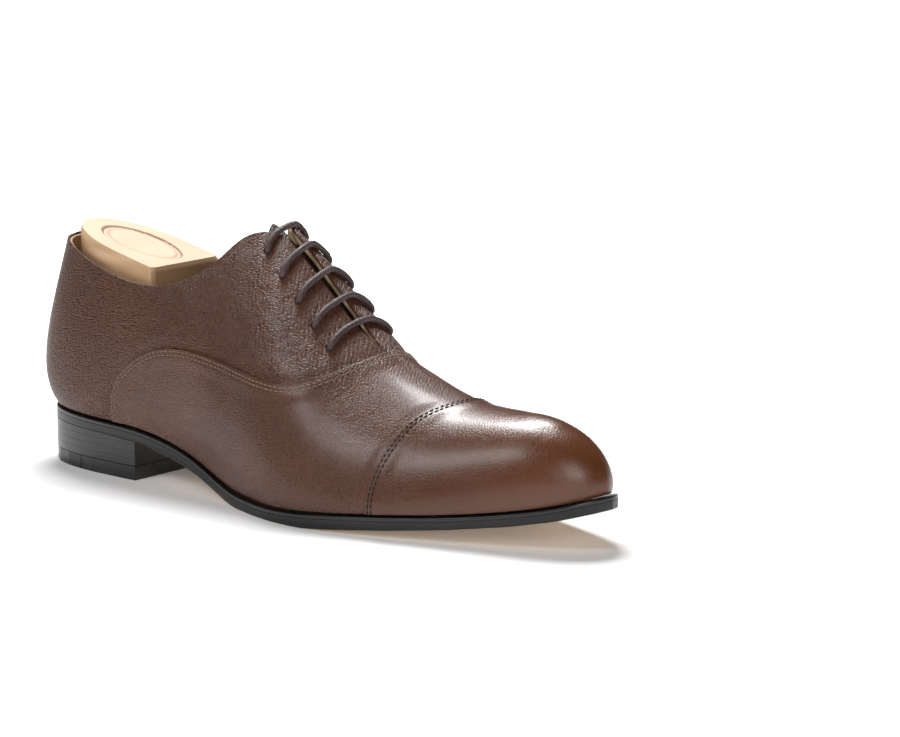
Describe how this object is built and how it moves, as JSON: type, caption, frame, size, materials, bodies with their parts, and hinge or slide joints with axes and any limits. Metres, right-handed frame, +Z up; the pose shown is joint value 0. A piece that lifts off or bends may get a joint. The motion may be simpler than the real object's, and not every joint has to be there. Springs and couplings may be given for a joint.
{
  "type": "leather oxford shoe with shoe tree",
  "caption": "Cap-toe leather oxford, right shoe, closed lacing, stacked heel, with a two-piece hinged wooden shoe tree inside.",
  "frame": {"origin": "middle of the heel's flat tread on the floor, under the heel seat", "axes": "+X runs forward to the toe, +Y to the inner (medial) side, +Z up; the sole stands on Z = 0"},
  "size_m": [0.3049, 0.0921, 0.1155],
  "materials": {
    "calf": "dark brown printed-grain calf, satin",
    "lining": "natural tan lining leather, matt",
    "stiffener": "stiffener board and tape, matt",
    "insole": "natural insole leather, matt",
    "brass": "plain brass",
    "lace": "waxed round cotton cord",
    "aglet": "dark plastic tip",
    "edge": "black dressed and waxed leather edge",
    "sole": "oak-tan sole leather with a black edge",
    "cork": "ground cork filling",
    "rubber": "moulded rubber",
    "steel": "plain steel",
    "beech": "pale unvarnished wood"
  },
  "bodies": {
    "shoe": {"toe_cap": "calf", "vamp": "calf", "quarter_lateral": "calf", "quarter_medial": "calf", "back_strap": "calf", "toe_puff": "stiffener", "heel_counter": "stiffener", "facing_stay_lateral": "stiffener", "facing_stay_medial": "stiffener", "heel_grip": "lining", "quarter_lining_lateral": "lining", "quarter_lining_medial": "lining", "vamp_lining": "lining", "eyelet_lateral_1": "brass", "eyelet_medial_1": "brass", "eyelet_lateral_2": "brass", "eyelet_medial_2": "brass", "eyelet_lateral_3": "brass", "eyelet_medial_3": "brass", "eyelet_lateral_4": "brass", "eyelet_medial_4": "brass", "eyelet_lateral_5": "brass", "eyelet_medial_5": "brass", "shoelace": "lace", "aglet_1": "aglet", "aglet_2": "aglet", "welt": "edge", "heel_rand": "edge", "cork_filler": "cork", "shank": "steel", "outsole": "sole", "insole": "insole", "sock_liner": "lining", "top_piece": "edge", "heel_tip": "rubber", "heel_nail_1": "brass", "heel_nail_2": "brass", "heel_nail_3": "brass", "heel_nail_4": "brass", "heel_nail_5": "brass", "heel_lift_1": "edge", "heel_lift_2": "edge", "heel_lift_3": "edge", "heel_wedge": "edge", "tree_forepart": "beech", "tree_pivot_pin": "steel"},
    "tongue_flap": {"tongue": "calf"},
    "tree_link": {"tree_arm": "steel", "tree_spring": "steel"},
    "tree_heel": {"tree_rod": "steel", "tree_heel_block": "beech"}
  },
  "joints": [
    {"name": "tree_tilt", "type": "hinge", "parent": "shoe", "child": "tree_link", "pos_m": [0.166, 0, 0.042], "axis": [0, 1, 0], "range_deg": [0, 26]},
    {"name": "tree_press", "type": "slide", "parent": "tree_link", "child": "tree_heel", "axis": [1, 0, 0], "range_m": [0, 0.012], "stiffness_N_per_m": 1200, "springref_m": -0.008, "deforming": ["tree_spring"]},
    {"name": "tongue_tilt", "type": "hinge", "parent": "shoe", "child": "tongue_flap", "pos_m": [0.157, 0, 0.054], "axis": [0, 1, 0], "range_deg": [-4, 0]}
  ]
}
